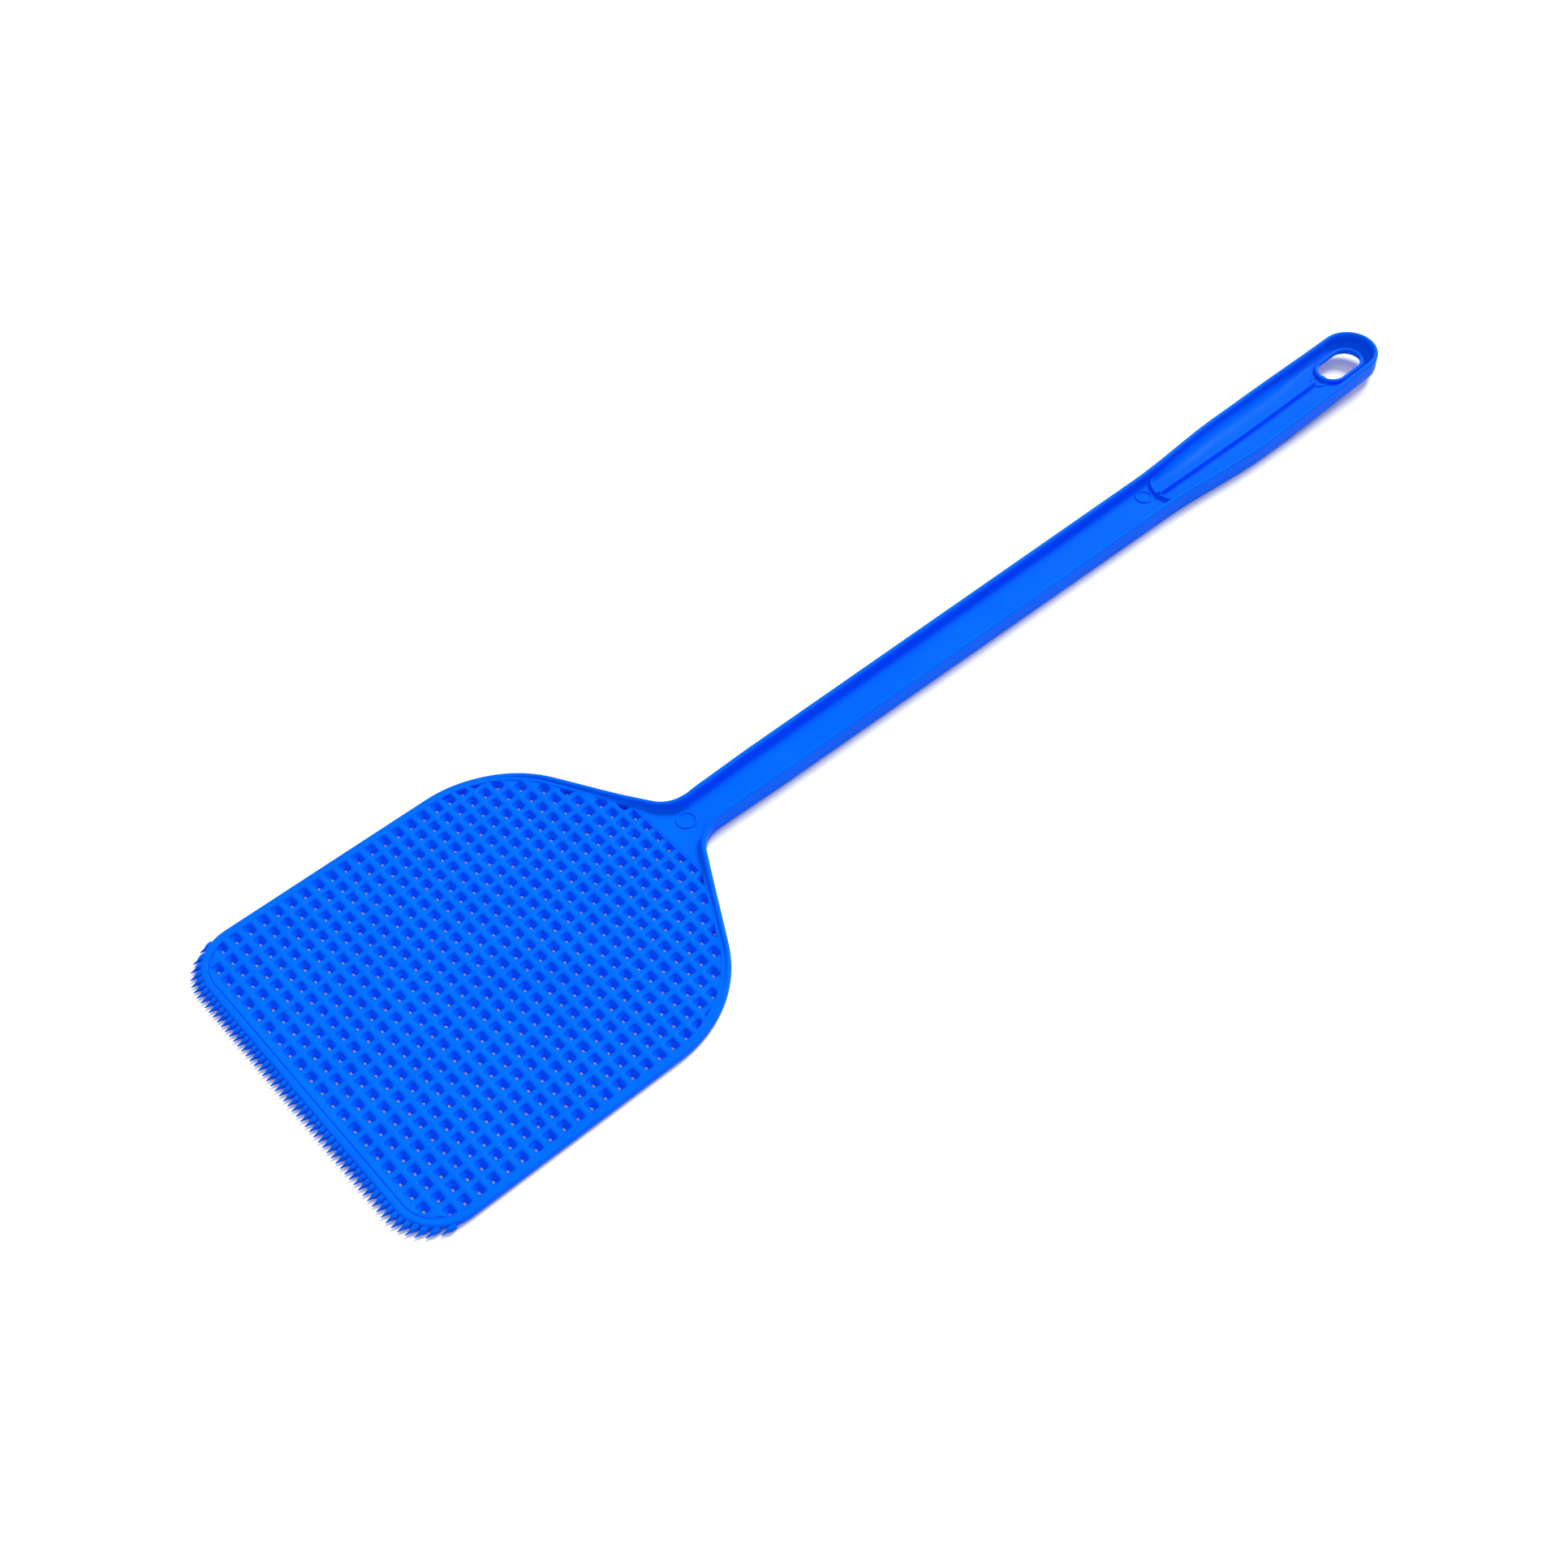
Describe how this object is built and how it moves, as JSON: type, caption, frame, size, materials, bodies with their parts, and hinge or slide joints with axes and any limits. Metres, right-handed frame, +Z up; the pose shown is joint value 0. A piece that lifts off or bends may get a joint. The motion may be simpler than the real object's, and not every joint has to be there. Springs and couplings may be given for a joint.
{
  "type": "fly swatter",
  "caption": "Moulded fly swatter with a flat open-mesh head, a toothed front edge and a channel-section handle with a hanging slot.",
  "frame": {"origin": "centre of the footprint, on the surface the swatter lies on", "axes": "+X along the handle from the toothed front edge to the hanging slot, +Z up out of the open channel, XZ is the plane of symmetry"},
  "size_m": [0.4214, 0.114, 0.0092],
  "materials": {
    "moulding": "satin-gloss injection-moulded polypropylene, bright blue right through"
  },
  "bodies": {
    "handle": {"neck": "moulding", "shaft_web": "moulding", "shaft_flange_left": "moulding", "shaft_flange_right": "moulding", "grip_web": "moulding", "grip_flange_left": "moulding", "grip_flange_right": "moulding", "end_wall": "moulding", "slot_plate": "moulding", "slot_collar": "moulding", "centre_rib": "moulding", "cross_rib": "moulding", "grip_rings": "moulding"},
    "head": {"striking_mesh": "moulding", "head_rim": "moulding", "front_comb": "moulding", "throat_plate": "moulding", "throat_ring": "moulding", "shoulder_bead_left": "moulding", "shoulder_bead_right": "moulding"}
  },
  "joints": [
    {"name": "head_flex", "type": "hinge", "parent": "handle", "child": "head", "pos_m": [-0.0654, 0, 0.0022], "axis": [0, 1, 0], "range_deg": [-25, 25], "stiffness_Nm_per_rad": 0.8, "deforming": ["neck"]}
  ]
}
